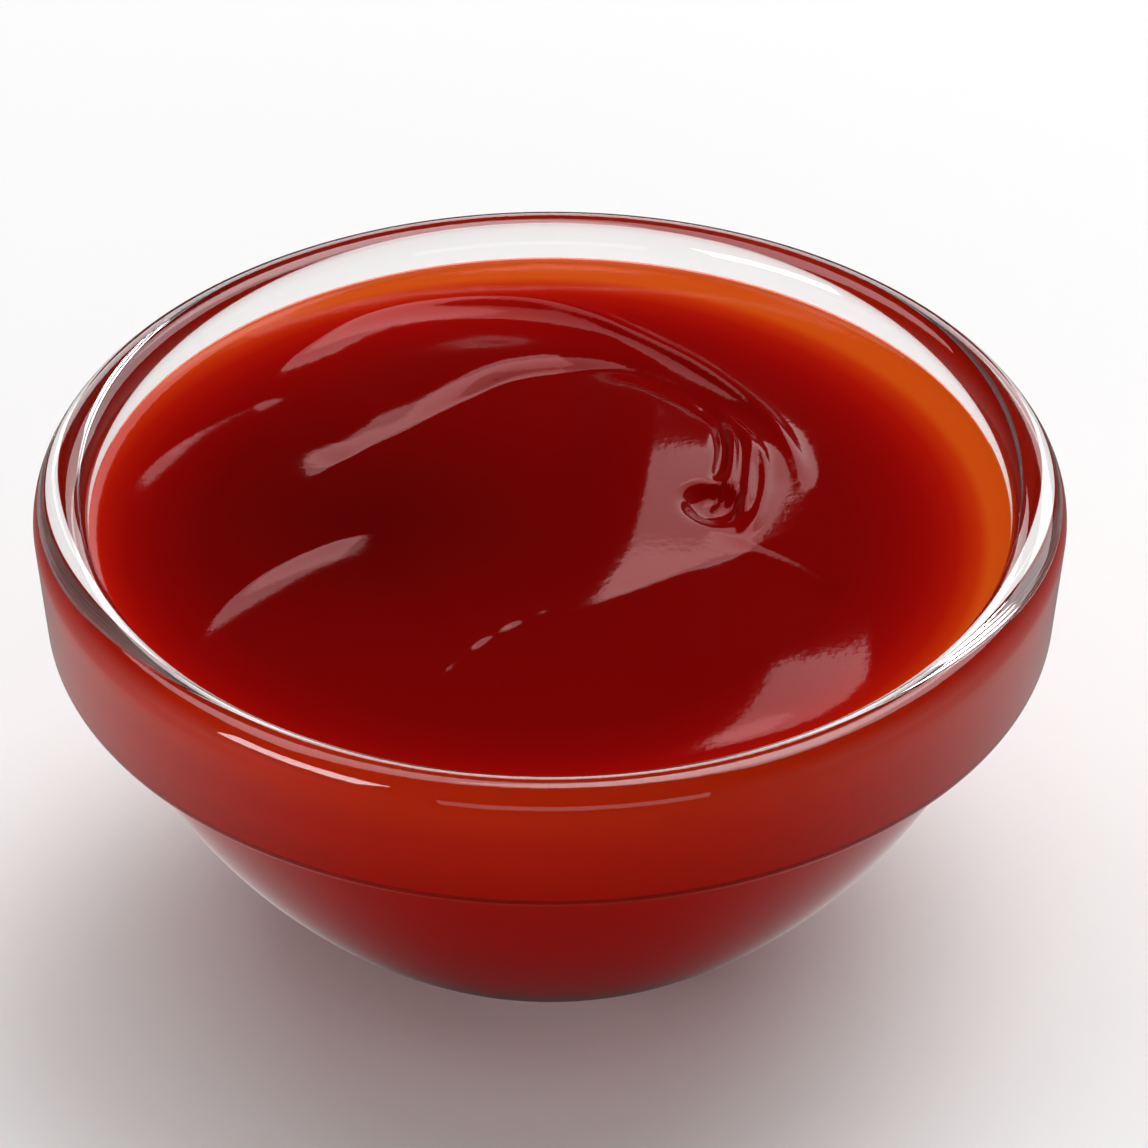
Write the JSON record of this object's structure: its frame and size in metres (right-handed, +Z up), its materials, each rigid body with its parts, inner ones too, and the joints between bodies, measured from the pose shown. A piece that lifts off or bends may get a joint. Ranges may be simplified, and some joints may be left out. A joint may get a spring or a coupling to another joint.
{
  "type": "small glass bowl of hot sauce",
  "caption": "Small stackable clear glass bowl filled nearly to the rim with thick, glossy red hot sauce, swirled with a spoon.",
  "frame": {"origin": "centre of the foot ring, in the plane that the bowl stands on", "axes": "+Z up along the bowl's axis; +Y to the back of the swirl, with the end of the swirl at the right, +X"},
  "size_m": [0.075, 0.075, 0.034],
  "materials": {
    "glass": "clear, polished, pressed glass",
    "sauce": "wet, glossy, thick and smooth; stands in for food"
  },
  "bodies": {
    "root": {"glass_bowl": "glass", "sauce": "sauce"}
  },
  "joints": []
}
